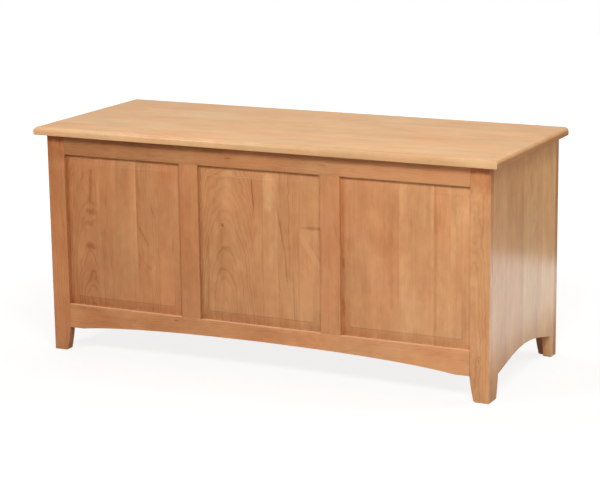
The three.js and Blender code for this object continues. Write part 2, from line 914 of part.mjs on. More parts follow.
function hingesGroup() {
  const group = new THREE.Group();
  hingePositions().forEach((x, index) => {
    const prefix = ['left_hinge', 'middle_hinge', 'right_hinge'][index];
    const hinge = new THREE.Group();
    hinge.position.set(x, hingeAxisY, hingeAxisZ);
    hinge.add(brassMesh(`${prefix}_case_leaf`, hingeLeafSolid(-1)));
    hinge.add(brassMesh(`${prefix}_lid_leaf`, hingeLeafSolid(1)));
    hinge.add(brassMesh(`${prefix}_pin`, hingePinSolid()));
    group.add(hinge);
  });
  return group;
}

function staysGroup() {
  const group = new THREE.Group();
  for (const [side, prefix] of [[-1, 'left'], [1, 'right']]) {
    const { fixed, moving } = stayMeshes(side, prefix);
    group.add(...fixed, ...moving);
  }
  return group;
}

// The origin lies on the floor in the middle of the whole footprint, lid and hinges included
const chest = new THREE.Group();
chest.add(caseGroup(), lidGroup(), hingesGroup(), staysGroup());
chest.position.y = -(caseDepth + barrelRadius - lidOverhang) / 2;

export default chest;
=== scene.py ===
"""Looks of a cherry blanket chest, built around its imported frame. Lengths are in metres."""

import math
from dataclasses import dataclass, replace

import bmesh
import bpy
from mathutils import Euler, Matrix, Vector


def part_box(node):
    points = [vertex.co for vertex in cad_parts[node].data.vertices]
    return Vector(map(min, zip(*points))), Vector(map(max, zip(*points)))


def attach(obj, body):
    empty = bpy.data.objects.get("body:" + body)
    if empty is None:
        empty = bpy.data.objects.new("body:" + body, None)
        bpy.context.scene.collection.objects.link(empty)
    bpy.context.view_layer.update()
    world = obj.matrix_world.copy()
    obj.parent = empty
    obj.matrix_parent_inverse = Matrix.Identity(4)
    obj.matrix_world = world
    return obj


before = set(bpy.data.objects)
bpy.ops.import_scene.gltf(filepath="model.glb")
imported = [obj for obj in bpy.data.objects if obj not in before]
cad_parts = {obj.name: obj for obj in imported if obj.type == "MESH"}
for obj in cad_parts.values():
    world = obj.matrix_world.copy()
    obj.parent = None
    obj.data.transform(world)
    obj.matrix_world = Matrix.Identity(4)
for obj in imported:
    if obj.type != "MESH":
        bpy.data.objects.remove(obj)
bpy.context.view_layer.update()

MM = 0.001
AXES = "xyz"
WHITE = (1, 1, 1, 1)

# Camera at the photo's place, with its angles in degrees and its lens and sensor in mm
CAMERA_PLACE = (2.06913, -4.15767, 1.32337)
CAMERA_YAW = 26.4551
CAMERA_PITCH = 13.0175
CAMERA_ROLL = -0.7630
CAMERA_LENS = 121.14
CAMERA_SENSOR = 36

# Lamps: place, side of the square lamp and power in watts; all face one point in the chest.
# Only the key lamp gives highlights, the others are diffuse fills.
LAMP_TARGET = (0, 0, 0.35)
HIGHLIGHT_LAMP = "key_lamp"
LAMPS = {
    "key_lamp": ((-1.45, -2.15, 2.0), 0.4, 22),
    "front_lamp": ((1.25, -1.9, 1.85), 0.8, 42),
    "side_lamp": ((2.3, 1.3, 1.4), 0.9, 20),
    "top_lamp": ((-0.7, 0.5, 2.6), 1.2, 23),
}

# Brightness of the surroundings for diffuse light: low in front, higher behind the chest
FILL_FRONT = 0.03
FILL_BACK = 0.22
FILL_TURN = (-0.2, 0.8)

# What the gloss of the chest shows: a gray room, brighter above, and a dark floor. The floor
# is paler to the right in front and behind the chest, and a white sheet lies on it beside the
# chest's right side.
ROOM_IN_GLOSS = 0.36
ROOM_IN_GLOSS_ABOVE = 0.8
ROOM_RISE = (0.35, 0.9)
FLOOR_IN_GLOSS = 0.02
FLOOR_IN_GLOSS_RIGHT = 0.22
FLOOR_IN_GLOSS_BACK = 0.10
FLOOR_RIGHT = (-1.3, 0.4)
SHEET_IN_GLOSS = 1.2
SHEET_COLOR = (0.88, 1.0, 1.0, 1)
SHEET_LEFT = (0.60, 0.77)
SHEET_FRONT = (-0.95, -0.80)
SHEET_BACK = (1.0, 1.25)

# The floor: its colour, half its side, the brightness of the white that the camera sees in it,
# the share of that white near the chest, and the distances over which it rises to all
FLOOR_COLOR = (0.82, 0.77, 0.69, 1)
FLOOR_HALF = 6
SHOWN_GLOW = 1.13
SHOWN_WHITE_NEAR = 0.75
SHOWN_WHITE_REACH = (0.7, 1.9)

# Panels reach this far into the grooves beside each opening
PANEL_TONGUE = 8.5 * MM

# Softened edges of the wood and of the metal, the steps round them, the angle from which an
# edge counts as sharp, the distance that counts as none and the angle that counts as flat
WOOD_EASE = 0.5 * MM
METAL_EASE = 0.2 * MM
EASE_SEGMENTS = 2
SHARP_ANGLE = math.radians(32)
WELD_DISTANCE = 0.01 * MM
FLAT_ANGLE = math.radians(0.5)

# Places of a mix node's sockets: its factor, and by kind those of both values and the result
MIX_FACTOR = 0
MIX_NUMBERS = (2, 3, 0)
MIX_COLORS = (6, 7, 2)

NOISE_MIDDLE = 0.5


class Graph:
    """Adds shader or geometry nodes to a tree and links them."""

    def __init__(self, tree):
        self.tree = tree

    def add(self, kind, **settings):
        node = self.tree.nodes.new(kind)
        for name, value in settings.items():
            setattr(node, name, value)
        return node

    def feed(self, socket, value):
        if isinstance(value, bpy.types.NodeSocket):
            self.tree.links.new(value, socket)
        else:
            socket.default_value = value

    def math(self, operation, *values, clamp=False):
        node = self.add("ShaderNodeMath", operation=operation, use_clamp=clamp)
        for socket, value in zip(node.inputs, values):
            self.feed(socket, value)
        return node.outputs[0]

    def combine(self, x, y, z):
        node = self.add("ShaderNodeCombineXYZ")
        for socket, value in zip(node.inputs, (x, y, z)):
            self.feed(socket, value)
        return node.outputs[0]

    def separate(self, vector):
        node = self.add("ShaderNodeSeparateXYZ")
        self.feed(node.inputs[0], vector)
        return tuple(node.outputs)

    def squares(self, x, y):
        """The sum of two numbers' squares."""
        return self.math("ADD", self.math("POWER", x, 2), self.math("POWER", y, 2))

    def noise(self, vector, detail, roughness=0.5):
        node = self.add("ShaderNodeTexNoise")
        self.feed(node.inputs["Vector"], vector)
        self.feed(node.inputs["Scale"], 1.0)
        self.feed(node.inputs["Detail"], detail)
        self.feed(node.inputs["Roughness"], roughness)
        return node.outputs["Fac"]

    def ramp(self, factor, stops, interpolation="LINEAR"):
        node = self.add("ShaderNodeValToRGB")
        node.color_ramp.interpolation = interpolation
        elements = node.color_ramp.elements
        while len(elements) < len(stops):
            elements.new(1.0)
        for element, (place, color) in zip(elements, stops):
            element.position = place
            element.color = color
        self.feed(node.inputs["Fac"], factor)
        return node.outputs["Color"]

    def mix_values(self, sockets, factor, a, b, **settings):
        """Adds a mix node for the kind of value that has these sockets."""
        first, second, result = sockets
        node = self.add("ShaderNodeMix", **settings)
        self.feed(node.inputs[MIX_FACTOR], factor)
        self.feed(node.inputs[first], a)
        self.feed(node.inputs[second], b)
        return node.outputs[result]

    def mix(self, factor, a, b, mode="MIX"):
        """Goes from colour a to colour b, or to their mix of another mode."""
        return self.mix_values(MIX_COLORS, factor, a, b, data_type="RGBA", blend_type=mode)

    def tint(self, color, by):
        return self.mix(1.0, color, by, "MULTIPLY")

    def blend(self, factor, a, b):
        """Goes from number a to number b as the factor goes from 0 to 1."""
        return self.mix_values(MIX_NUMBERS, factor, a, b, data_type="FLOAT")

    def group(self, name, values):
        """Adds a node group, feeds its inputs by label and gives its outputs."""
        node = self.add("ShaderNodeGroup", node_tree=bpy.data.node_groups[name])
        for label, value in values.items():
            self.feed(node.inputs[label], value)
        return node.outputs

    def step(self, value, low, high):
        """Rises smoothly from 0 at low to 1 at high."""
        node = self.add("ShaderNodeMapRange", interpolation_type="SMOOTHSTEP")
        self.feed(node.inputs["Value"], value)
        self.feed(node.inputs["From Min"], low)
        self.feed(node.inputs["From Max"], high)
        return node.outputs["Result"]


def new_material(name):
    material = bpy.data.materials.new(name)
    material.use_nodes = True
    material.node_tree.nodes.clear()
    return material, Graph(material.node_tree)


def finish_material(graph, shader):
    output = graph.add("ShaderNodeOutputMaterial")
    graph.feed(output.inputs["Surface"], shader)


def finish_surface(graph, values, height, strength, depth):
    """Ends a material with a surface shader of the given values and a fine bump."""
    bump = graph.add("ShaderNodeBump")
    graph.feed(bump.inputs["Strength"], strength)
    graph.feed(bump.inputs["Distance"], depth)
    graph.feed(bump.inputs["Height"], height)
    shader = graph.add("ShaderNodeBsdfPrincipled")
    for label, value in values.items():
        graph.feed(shader.inputs[label], value)
    graph.feed(shader.inputs["Normal"], bump.outputs["Normal"])
    finish_material(graph, shader.outputs[0])


def opaque(color):
    return (*color, 1)


def gray(value):
    return opaque((value, value, value))


def group_graph(name, inputs, outputs):
    """A new shader node group that takes a place and the named numbers, and gives numbers."""
    tree = bpy.data.node_groups.new(name, "ShaderNodeTree")
    tree.interface.new_socket("Place", in_out="INPUT", socket_type="NodeSocketVector")
    for side, labels in (("INPUT", inputs), ("OUTPUT", outputs)):
        for label in labels:
            tree.interface.new_socket(label, in_out=side, socket_type="NodeSocketFloat")
    graph = Graph(tree)
    return graph, graph.add("NodeGroupInput").outputs, graph.add("NodeGroupOutput").inputs


@dataclass
class Layer:
    """One layer of stretched noise: its scales across and along the board per metre, its
    detail, its place in the noise, the amount by which it counts and its roughness."""

    across: float
    along: float
    detail: float
    offset: float
    amount: float = 1.0
    roughness: float = 0.5


# Grain of every board. Place is (across, along, into the board). The year rings are cones
# round a pith line that lies Depth below the face and sinks by Slope along the board, so they
# show as nested arches over the pith and as straight lines beside it. Growth is a ring's
# width, and the profile is how dark the wood is from the start of a ring to its end.
GROWTH = 6.5 * MM
RING_PROFILE = [
    (0.0, gray(0.42)),
    (0.2, gray(0.08)),
    (0.48, gray(0.14)),
    (0.74, gray(0.6)),
    (0.87, gray(1.0)),
    (1.0, gray(0.42)),
]

# Noise that pushes the rings, with amounts in metres: across the board, and into it
BEND = Layer(8, 3.5, 2, 3.1, 0.018)
RIPPLE = Layer(26, 40, 2, 7.7, 0.012)
SINK = Layer(17, 12, 2, 12.4, 0.018)
DIMPLE = Layer(44, 40, 2, 18.8, 0.008)

# The rings' uneven widths, and the stretches where they show or fade, by turn and by metre
RING_DETAIL = 1
UNEVEN_SCALE = 0.4
UNEVEN_TURNS = 2.2
VIGOUR_BY_TURN = 0.7
VIGOUR_ALONG = 3
VIGOUR_LEVELS = (0.3, 0.66)

# Noise that darkens the wood, and how dark it is without any
BROAD = Layer(42, 1.1, 2, 5.9, 0.9)
STREAK = Layer(120, 13, 3, 2.3, 0.8, 0.6)
CURL = Layer(60, 34, 2, 15.2, 0.8)
FIBRE = Layer(800, 26, 1, 1.3, 0.06)
BLOTCH = Layer(16, 8, 3, 9.2, 0.85)
DARK_BASE = 0.3

# Flecks: specks within patches, and the noise levels from none to full. Blush is the slow
# turn from golden to rosy, and the rings' relief is their share in the bump.
SPECK = Layer(330, 42, 1, 4.4)
SPECK_LEVELS = (0.25, 0.31)
PATCH = Layer(21, 9, 1, 8.1)
PATCH_LEVELS = (0.06, 0.16)
BLUSH = Layer(9, 5, 2, 21.6, 1.6)
RING_RELIEF = 0.4


class Grain:
    """The grain at a point of a board whose places are u across, v along and w into it."""

    def __init__(self, graph, source):
        self.graph = graph
        self.source = source
        self.u, self.v, self.w = graph.separate(source["Place"])

    def stretched(self, base, layer):
        """One layer's noise round zero, with base as the place across the board."""
        graph = self.graph
        x = graph.math("MULTIPLY_ADD", base, layer.across, self.source["Seed"])
        y = graph.math("MULTIPLY_ADD", self.v, layer.along, layer.offset)
        z = graph.math("MULTIPLY_ADD", self.w, layer.across, layer.offset)
        noise = graph.noise(graph.combine(x, y, z), layer.detail, layer.roughness)
        return graph.math("SUBTRACT", noise, NOISE_MIDDLE)

    def add_layers(self, value, base, *layers):
        for layer in layers:
            noise = self.stretched(base, layer)
            value = self.graph.math("MULTIPLY_ADD", noise, layer.amount, value)
        return value

    def rings(self, bent):
        """How much the year rings darken the wood."""
        graph = self.graph
        seed = self.source["Seed"]
        across = graph.math("SUBTRACT", bent, self.source["Pith"])
        sunk = graph.math("MULTIPLY_ADD", self.v, self.source["Slope"], self.source["Depth"])
        sunk = self.add_layers(graph.math("ADD", sunk, self.w), self.u, SINK, DIMPLE)
        turns = graph.math("DIVIDE", graph.math("SQRT", graph.squares(across, sunk)), GROWTH)
        place = graph.combine(graph.math("MULTIPLY", turns, UNEVEN_SCALE), seed, 0)
        turns = graph.math("MULTIPLY_ADD", graph.noise(place, RING_DETAIL), UNEVEN_TURNS, turns)
        profile = graph.ramp(graph.math("FRACT", turns), RING_PROFILE)
        by_turn = graph.math("MULTIPLY", turns, VIGOUR_BY_TURN)
        place = graph.combine(by_turn, graph.math("MULTIPLY", self.v, VIGOUR_ALONG), seed)
        vigour = graph.step(graph.noise(place, RING_DETAIL), *VIGOUR_LEVELS)
        return graph.math("MULTIPLY", graph.math("MULTIPLY", profile, vigour), self.source["Rings"])

    def dark(self, bent, rings, fibre):
        """How dark the wood is without its marks."""
        graph = self.graph
        streaks = self.add_layers(0.0, bent, STREAK, BROAD, CURL)
        dark = graph.math("MULTIPLY_ADD", streaks, self.source["Streaks"], rings)
        dark = graph.math("MULTIPLY_ADD", fibre, FIBRE.amount, dark)
        return graph.math("ADD", self.add_layers(dark, bent, BLOTCH), DARK_BASE)

    def fleck(self):
        speck = self.graph.step(self.stretched(self.u, SPECK), *SPECK_LEVELS)
        patch = self.graph.step(self.stretched(self.u, PATCH), *PATCH_LEVELS)
        return self.graph.math("MULTIPLY", speck, patch)


def make_grain_group():
    inputs = ("Pith", "Depth", "Slope", "Seed", "Rings", "Streaks")
    outputs = ("Dark", "Fleck", "Fibre", "Blush")
    graph, source, sink = group_graph("wood_grain", inputs, outputs)
    grain = Grain(graph, source)
    bent = grain.add_layers(grain.u, grain.u, BEND, RIPPLE)
    rings = grain.rings(bent)
    fibre = grain.stretched(grain.u, FIBRE)
    graph.feed(sink["Dark"], grain.dark(bent, rings, fibre))
    graph.feed(sink["Fleck"], grain.fleck())
    graph.feed(sink["Fibre"], graph.math("MULTIPLY_ADD", rings, RING_RELIEF, fibre))
    graph.feed(sink["Blush"], grain.stretched(grain.u, BLUSH))


# Grit that frays a mark's edge: its scales across and along the board per metre, its detail
# and its amount, and the reach, with 1 on the oval, over which a mark fades
GRIT_SCALES = (160, 60)
GRIT_DETAIL = 2
GRIT_AMOUNT = 1.4
MARK_FADE = (-0.2, 1.6)


def make_mark_group():
    """A soft oval that darkens or pales the wood, such as a knot, a streak, a pale patch, or a
    painted shadow or highlight. Lean is how far its middle line shifts across the board for each
    step along it."""
    inputs = ("U", "V", "Half U", "Half V", "Lean", "Strength", "Base")
    graph, source, sink = group_graph("wood_mark", inputs, ("Dark",))
    u, v, _ = graph.separate(source["Place"])
    grit = [graph.math("MULTIPLY", part, scale) for part, scale in zip((u, v), GRIT_SCALES)]
    noise = graph.noise(graph.combine(*grit, 0), GRIT_DETAIL)
    fray = graph.math("SUBTRACT", noise, NOISE_MIDDLE)
    along = graph.math("SUBTRACT", v, source["V"])
    middle = graph.math("MULTIPLY_ADD", along, source["Lean"], source["U"])
    x = graph.math("DIVIDE", graph.math("SUBTRACT", u, middle), source["Half U"])
    y = graph.math("DIVIDE", along, source["Half V"])
    reach = graph.math("MULTIPLY_ADD", fray, GRIT_AMOUNT, graph.squares(x, y))
    mask = graph.math("SUBTRACT", 1.0, graph.step(reach, *MARK_FADE))
    graph.feed(sink["Dark"], graph.math("MULTIPLY_ADD", mask, source["Strength"], source["Base"]))


@dataclass
class Board:
    """One glued board: its far edge in mm, the factor on its colour, how pink it is from 0 to 1,
    how much its rings darken it, and its pith's place and depth in mm and slope."""

    end: float
    tone: float
    pink: float
    rings: float
    pith: float
    depth: float
    slope: float


@dataclass
class Mark:
    """A knot, streak, pale patch, painted shadow or painted highlight: its middle across and along
    the board and its half sizes in mm, its strength, below zero where it is paler than the wood,
    and its lean."""

    across: float
    along: float
    half_across: float
    half_along: float
    strength: float
    lean: float = 0.0


@dataclass
class Finish:
    """Colours and gloss of one kind of wood surface, and how much its streaks show. End turn is
    how far a face turns towards the grain's ends before it shows end grain, end is that grain's
    tint, and end under its tint where it doesn't look up. Ledge, under and wall are painted light
    and shade: a painted highlight on faces that look up, painted shade on faces that look down,
    however little, and painted shade on a piece's long edges."""

    light: tuple
    dark: tuple
    streaks: float
    roughness: float
    coat: float
    coat_roughness: float
    end_turn: tuple = (0.15, 0.6)
    end: tuple = (0.62, 0.47, 0.37)
    end_under: tuple = ()
    ledge: tuple = ()
    under: tuple = ()
    wall: tuple = ()


# Finishes: the frames, the raised panels with painted shade on their undersides, the bottom rail
# with a painted highlight on its ledge, the left stiles with painted shade on their edges, the
# sides, the lid with its battens, paler in part as a painted sheen, and the raw bottom with its
# cleats
LACQUERED = Finish(
    light=(0.70, 0.34, 0.146),
    dark=(0.40, 0.137, 0.041),
    streaks=0.5,
    roughness=0.36,
    coat=0.8,
    coat_roughness=0.12,
)
# Raised panels: end grain on their bevels, and painted shade on every face that looks down
RAISED = replace(LACQUERED, end=(0.95, 0.93, 0.91), under=(0.91, 0.89, 0.86))
# The bottom rail: a painted highlight on its faces that look up
PAINTED_LEDGE_LIGHT_RAIL = replace(LACQUERED, ledge=(1.4, 2.0, 2.8))
# The left stiles: painted shade on their long edges
PAINTED_EDGE_SHADE_STILE = replace(LACQUERED, wall=(0.76, 0.78, 0.8))
SIDE = replace(LACQUERED, light=(0.74, 0.41, 0.178), dark=(0.44, 0.18, 0.059))
# The lid and its battens: satin, with a paler colour that partly stands in for the lid's sheen, a
# painted sheen. Their end grain is darker, but paler where it looks up as painted light, and their
# long edges take painted shade.
LID_SATIN_PAINTED_SHEEN = Finish(
    light=(0.92, 0.558, 0.274),
    dark=(0.67, 0.355, 0.154),
    streaks=0.35,
    roughness=0.44,
    coat=0.25,
    coat_roughness=0.22,
    end_turn=(0.5, 0.85),
    end=(0.9, 0.83, 0.75),
    end_under=(0.58, 0.44, 0.32),
    wall=(0.9, 0.93, 0.97),
)
RAW = Finish(
    light=(0.72, 0.47, 0.25),
    dark=(0.50, 0.27, 0.11),
    streaks=0.5,
    roughness=0.62,
    coat=0.0,
    coat_roughness=0.3,
)

# Ranges of the boards' numbers in the look-up ramps: mm, mm, mm per mm and a factor. The first
# three reach as far below zero as above it, and the factor starts at zero.
PITH_SPAN = 800
DEPTH_SPAN = 400
SLOPE_SPAN = 0.8
TONE_SPAN = 2.0

# Tints of the least and the most pink wood, and the colour and share of the flecks
GOLDEN = (0.98, 1.07, 1.12, 1)
ROSY = (1.05, 0.89, 0.81, 1)
FLECK_COLOR = (0.12, 0.045, 0.018, 1)
FLECK_SHARE = 0.6

# Turns of a face at which it takes none of a tint and all of it: towards the tint's side, down,
# and for end grain that doesn't look up
FACE_TURN = (0.5, 0.9)
UNDER_TURN = (0.01, 0.05)
END_UNDER_TURN = (-0.5, 0.0)

# Relief of the wood's fibres, how much they roughen its gloss, and the numbers that set the
# noise of each piece and of each board apart
FIBRE_BUMP = 0.06
FIBRE_BUMP_DEPTH = 0.1 * MM
FIBRE_ROUGHNESS = 0.12
FIRST_SEED = 3
PIECE_SEED_STEP = 7
BOARD_SEED_STEP = 31


def board_values(graph, share, boards):
    """Looks up each board's numbers by where the point lies across the glued-up width."""
    width = boards[-1].end
    starts = [0.0] + [board.end / width for board in boards[:-1]]

    def look_up(values):
        stops = [(start, opaque(value)) for start, value in zip(starts, values)]
        if len(stops) == 1:
            stops = stops * 2
        return graph.separate(graph.ramp(share, stops, "CONSTANT"))

    def restored(part, span):
        return graph.math("MULTIPLY_ADD", part, span, -span / 2)

    spans = (PITH_SPAN, DEPTH_SPAN, SLOPE_SPAN)
    shapes = [(board.pith, board.depth, board.slope) for board in boards]
    shares = [[value / span + 0.5 for value, span in zip(shape, spans)] for shape in shapes]
    pith, depth, slope = look_up(shares)
    looks = [(board.tone / TONE_SPAN, board.pink, board.rings) for board in boards]
    tone, pink, rings = look_up(looks)
    order, _, _ = look_up([(index / len(boards), 0, 0) for index in range(len(boards))])
    return {
        "pith": restored(pith, PITH_SPAN * MM),
        "depth": restored(depth, DEPTH_SPAN * MM),
        "slope": restored(slope, SLOPE_SPAN),
        "tone": graph.math("MULTIPLY", tone, TONE_SPAN),
        "pink": pink,
        "rings": rings,
        "order": order,
    }


def marked(graph, dark, place, marks):
    """How dark the wood is once each mark has darkened or paled it."""
    for mark in marks:
        values = {
            "Place": place,
            "U": mark.across * MM,
            "V": mark.along * MM,
            "Half U": mark.half_across * MM,
            "Half V": mark.half_along * MM,
            "Lean": mark.lean,
            "Strength": mark.strength,
            "Base": dark,
        }
        dark = graph.group("wood_mark", values)["Dark"]
    return dark


def wood_color(graph, dark, grain, board, finish):
    """Colour of the wood by how dark it is, with flecks and its board's tone and pink."""
    amount = graph.math("ADD", dark, 0.0, clamp=True)
    color = graph.mix(amount, opaque(finish.light), opaque(finish.dark))
    fleck = graph.math("MULTIPLY", grain["Fleck"], FLECK_SHARE)
    color = graph.mix(fleck, color, FLECK_COLOR)
    tone = board["tone"]
    color = graph.tint(color, graph.combine(tone, tone, tone))
    pink = graph.math("MULTIPLY_ADD", grain["Blush"], BLUSH.amount, board["pink"], clamp=True)
    return graph.tint(color, graph.mix(pink, GOLDEN, ROSY))


def tint_turned_faces(graph, color, finish, along, across, up):
    """Tints end grain, and paints a highlight on ledges and shade on undersides and long edges,
    by the face's normal along and across the grain and upward."""
    down = graph.math("MULTIPLY", up, -1.0)
    end_tint = opaque(finish.end)
    if finish.end_under:
        under_share = graph.step(down, *END_UNDER_TURN)
        end_tint = graph.mix(under_share, end_tint, opaque(finish.end_under))
    end_share = graph.step(graph.math("ABSOLUTE", along), *finish.end_turn)
    color = graph.mix(end_share, color, graph.tint(color, end_tint))
    # Ledges take a painted highlight, undersides and long edges take painted shade
    turned = (
        (finish.ledge, up, FACE_TURN),
        (finish.under, down, UNDER_TURN),
        (finish.wall, graph.math("ABSOLUTE", across), FACE_TURN),
    )
    for tint, facing, turn in turned:
        if tint:
            color = graph.mix(graph.step(facing, *turn), color, graph.tint(color, opaque(tint)))
    return color


def place_in_board(graph, point, grain_axis, across_axis, origin):
    """The place across a piece's boards, and the place across, along and into them."""
    parts = dict(zip(AXES, graph.separate(point)))
    depth_axis = next(axis for axis in AXES if axis not in (grain_axis, across_axis))
    u = graph.math("SUBTRACT", parts[across_axis], origin[AXES.index(across_axis)])
    w = graph.math("SUBTRACT", parts[depth_axis], origin[AXES.index(depth_axis)])
    return u, graph.combine(u, parts[grain_axis], w)


def wood_material(name, grain_axis, across_axis, origin, boards, marks, finish, seed):
    """Wood whose grain runs along one axis, with boards laid side by side across another."""
    material, graph = new_material(name)
    point = graph.add("ShaderNodeTexCoord").outputs
    u, place = place_in_board(graph, point["Object"], grain_axis, across_axis, origin)
    share = graph.math("DIVIDE", u, boards[-1].end * MM, clamp=True)
    board = board_values(graph, share, boards)
    values = {
        "Place": place,
        "Pith": board["pith"],
        "Depth": board["depth"],
        "Slope": board["slope"],
        "Seed": graph.math("MULTIPLY_ADD", board["order"], BOARD_SEED_STEP, seed),
        "Rings": board["rings"],
        "Streaks": finish.streaks,
    }
    grain = graph.group("wood_grain", values)
    dark = marked(graph, grain["Dark"], place, marks)
    color = wood_color(graph, dark, grain, board, finish)
    normals = dict(zip(AXES, graph.separate(point["Normal"])))
    facing = (normals[grain_axis], normals[across_axis], normals["z"])
    surface = {
        "Base Color": tint_turned_faces(graph, color, finish, *facing),
        "Roughness": graph.math("MULTIPLY_ADD", grain["Fibre"], FIBRE_ROUGHNESS, finish.roughness),
        "Coat Weight": finish.coat,
        "Coat Roughness": finish.coat_roughness,
    }
    finish_surface(graph, surface, grain["Fibre"], FIBRE_BUMP, FIBRE_BUMP_DEPTH)
    return material


# Brass: its two colours, the scales per metre and the detail of its brushed lines and of its
# tarnish, their shares in its colour, the levels between its colours, its gloss and its relief
BRASS_DULL = (0.52, 0.33, 0.11, 1)
BRASS_BRIGHT = (0.80, 0.58, 0.27, 1)
BRUSH_SCALES = (140, 2400, 2400)
BRUSH_DETAIL = 2
TARNISH_SCALES = (70, 70, 70)
TARNISH_DETAIL = 3
BRUSH_SHARE = 0.35
TARNISH_SHARE = 0.65
BRASS_LEVELS = (0.3, 0.7)
BRASS_ROUGHNESS = 0.2
BRUSH_ROUGHNESS = 0.18
BRUSH_BUMP = 0.08
BRUSH_BUMP_DEPTH = 0.05 * MM


def brass_material():
    """Satin brass with fine brushed lines and a faint uneven tarnish."""
    material, graph = new_material("satin_brass")
    parts = graph.separate(graph.add("ShaderNodeTexCoord").outputs["Object"])

    def scaled_noise(scales, detail):
        place = [graph.math("MULTIPLY", part, scale) for part, scale in zip(parts, scales)]
        return graph.noise(graph.combine(*place), detail)

    lines = scaled_noise(BRUSH_SCALES, BRUSH_DETAIL)
    tarnish = scaled_noise(TARNISH_SCALES, TARNISH_DETAIL)
    tarnish = graph.math("MULTIPLY", tarnish, TARNISH_SHARE)
    amount = graph.math("MULTIPLY_ADD", lines, BRUSH_SHARE, tarnish)
    surface = {
        "Base Color": graph.mix(graph.step(amount, *BRASS_LEVELS), BRASS_DULL, BRASS_BRIGHT),
        "Metallic": 1.0,
        "Roughness": graph.math("MULTIPLY_ADD", lines, BRUSH_ROUGHNESS, BRASS_ROUGHNESS),
    }
    finish_surface(graph, surface, lines, BRUSH_BUMP, BRUSH_BUMP_DEPTH)
    return material


# Boards of the glued-up pieces. Panels count from the left edge of their opening, sides from
# the front, the lid from its front edge. Marks give their place along the grain from zero.
# The painted panel shade is two soft dark bands on each front panel: painted shade across its
# bottom above the rail, and the top rail's painted shadow across its top.
PANEL_PAINTED_SHADE = [
    Mark(150, 110, 400, 22, 0.3),
    Mark(150, 482, 400, 6, 0.4),
]
PANEL_BOARDS = {
    "front_panel_left": (
        [
            Board(78, 0.95, 0.8, 0.42, 62, -8, 0.19),
            Board(133, 0.97, 0.65, 0.2, 20, 30, 0.02),
            Board(190, 1.03, 0.3, 0.1, 400, 30, 0.0),
            Board(249, 0.975, 0.62, 0.25, 150, 20, 0.05),
            Board(312, 1.0, 0.68, 0.12, -60, 30, 0.01),
        ],
        [
            Mark(67, 408, 5, 46, 0.45, 0.08),
            Mark(86, 390, 4, 34, -0.25),
            Mark(66, 345, 15, 9, 0.42),
            Mark(60, 318, 14, 8, 0.38),
            Mark(62, 262, 16, 10, 0.44),
            Mark(193, 345, 2, 30, 0.3),
            Mark(188, 410, 2.5, 40, -0.3),
            Mark(207, 300, 4, 25, 0.4, -0.56),
            Mark(234, 357, 3, 18, 0.25, -0.33),
            Mark(215, 229, 3, 11, 0.25, -0.9),
            Mark(250, 180, 60, 90, -0.15),
            *PANEL_PAINTED_SHADE,
            # Painted shadow of the stile along the panel's left edge
            Mark(3, 300, 8, 400, 0.2),
        ],
    ),
    "front_panel_middle": (
        [
            Board(141, 1.03, 0.38, 0.36, 66, -30, 0.25),
            Board(164, 1.02, 0.45, 0.15, 300, 30, 0.01),
            Board(200, 1.09, 0.2, 0.1, 400, 30, 0.0),
            Board(254, 1.0, 0.4, 0.35, 180, 6, 0.045),
            Board(312, 1.02, 0.3, 0.15, 400, 30, 0.02),
        ],
        [
            Mark(60, 343, 3.5, 4.5, 1.0),
            Mark(66, 290, 22, 60, 0.18),
            Mark(100, 250, 14, 16, -0.22),
            Mark(62, 395, 16, 18, -0.2),
            Mark(139, 415, 2.4, 44, 0.55, -0.05),
            Mark(180, 438, 14, 50, -0.35),
            Mark(209, 345, 2.2, 54, 0.45, -0.17),
            Mark(221, 262, 2.2, 42, 0.45, -0.06),
            Mark(240, 190, 2.4, 76, 0.35, -0.03),
            Mark(288, 354, 27, 4.5, 0.5),
            Mark(282, 300, 9, 36, -0.35, -0.6),
            Mark(262, 190, 60, 110, -0.2),
            *PANEL_PAINTED_SHADE,
            # Painted shadow of the stile along the panel's left edge
            Mark(3, 300, 10, 400, 0.12),
        ],
    ),
    "front_panel_right": (
        [
            Board(141, 1.06, 0.33, 0.12, 400, 30, 0.01),
            Board(223, 1.12, 0.12, 0.12, -200, 30, 0.0),
            Board(261, 1.15, 0.0, 0.12, -300, 30, 0.02),
            Board(312, 1.17, 0.0, 0.12, 380, 30, 0.01),
        ],
        [
            Mark(96, 338, 34, 38, 0.22),
            Mark(5, 281, 5, 14, 0.4),
            Mark(5, 180, 5, 22, 0.4),
            Mark(227, 300, 5, 190, 0.25),
            Mark(219, 300, 5, 190, -0.15),
            Mark(150, 160, 140, 80, -0.1),
            *PANEL_PAINTED_SHADE,
            # Painted shadow of the stile along the panel's left edge
            Mark(3, 300, 12, 400, 0.15),
        ],
    ),
}
SIDE_BOARDS = [
    Board(108, 1.05, 0.55, 0.15, -60, 40, 0.02),
    Board(196, 1.05, 0.6, 0.12, 300, 30, 0.01),
    Board(212, 1.2, 0.15, 0.0, 300, 30, 0.0),
    Board(318, 1.16, 0.15, 0.2, 262, 20, 0.08),
    Board(440, 1.26, 0.15, 0.12, 400, 40, 0.02),
]
# Painted shadow of the lid's overhang across the top of the sides
SIDE_PAINTED_SHADOW = [Mark(390, 510, 220, 40, 0.32)]
LID_BOARDS = [
    Board(88, 1.0, 0.5, 0.2, -40, 30, 0.01),
    Board(176, 1.02, 0.4, 0.15, 240, 40, 0.02),
    Board(262, 0.985, 0.55, 0.25, 215, 30, 0.02),
    Board(352, 1.01, 0.4, 0.2, 400, 30, 0.01),
    Board(466, 0.99, 0.5, 0.15, -20, 60, 0.02),
]
